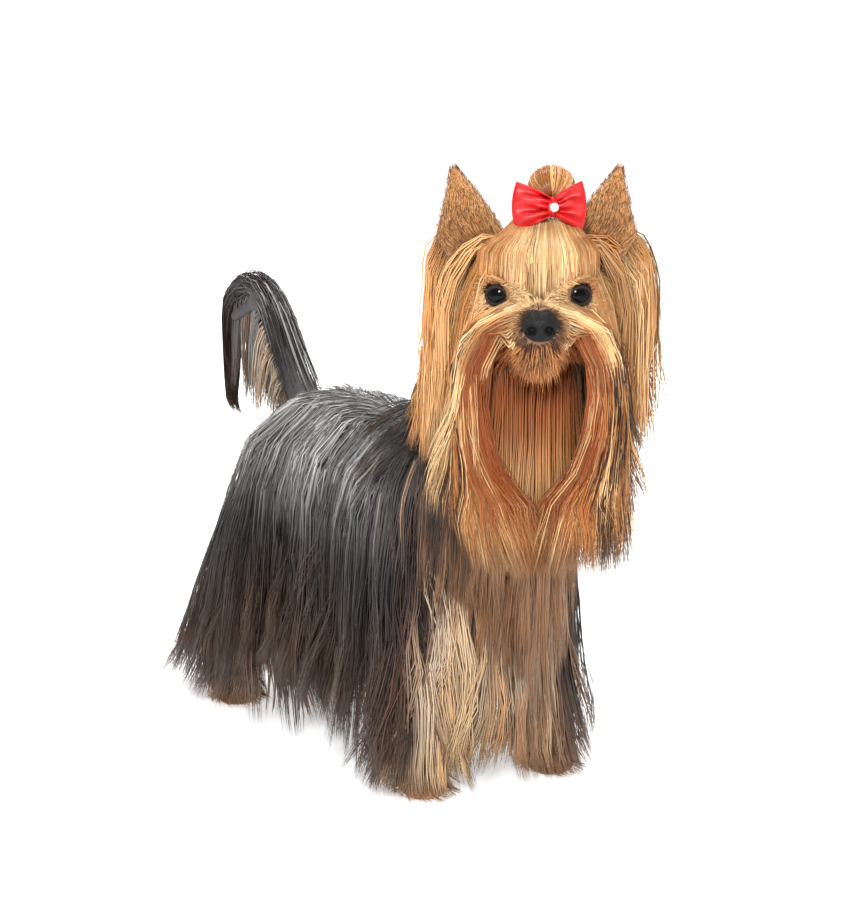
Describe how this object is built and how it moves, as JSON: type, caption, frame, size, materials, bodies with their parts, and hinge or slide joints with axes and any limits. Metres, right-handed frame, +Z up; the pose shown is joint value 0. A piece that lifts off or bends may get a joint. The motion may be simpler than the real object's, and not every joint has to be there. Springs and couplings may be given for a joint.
{
  "type": "yorkshire terrier figure",
  "caption": "Life-size yorkshire terrier standing in a long show coat, head turned to one side, tail up, with a ribbon bow tied round its topknot.",
  "frame": {"origin": "middle of the bounding box's bottom, at the level of the paws' soles", "axes": "+Z up; the dog faces -Y, its left is +X, and its head is turned towards its right"},
  "size_m": [0.1424, 0.3684, 0.34],
  "materials": {
    "steel_hair": "silky",
    "black_hair": "silky",
    "tan_hair": "silky",
    "ear_fur": "short soft fur",
    "nose_leather": "moist, pebbled",
    "eye_gloss": "wet gloss",
    "red_satin": "satin",
    "pearl": "pearly"
  },
  "bodies": {
    "root": {"torso": "steel_hair", "neck": "tan_hair", "head": "tan_hair", "nose": "nose_leather", "eye_left": "eye_gloss", "eye_right": "eye_gloss", "ear_left": "ear_fur", "ear_right": "ear_fur", "topknot": "tan_hair", "bow_left": "red_satin", "bow_right": "red_satin", "bow_knot": "red_satin", "bow_pearl": "pearl", "leg_front_left": "tan_hair", "leg_front_right": "tan_hair", "leg_hind_left": "tan_hair", "leg_hind_right": "tan_hair", "tail": "steel_hair", "tail_plume": "black_hair"}
  },
  "joints": []
}
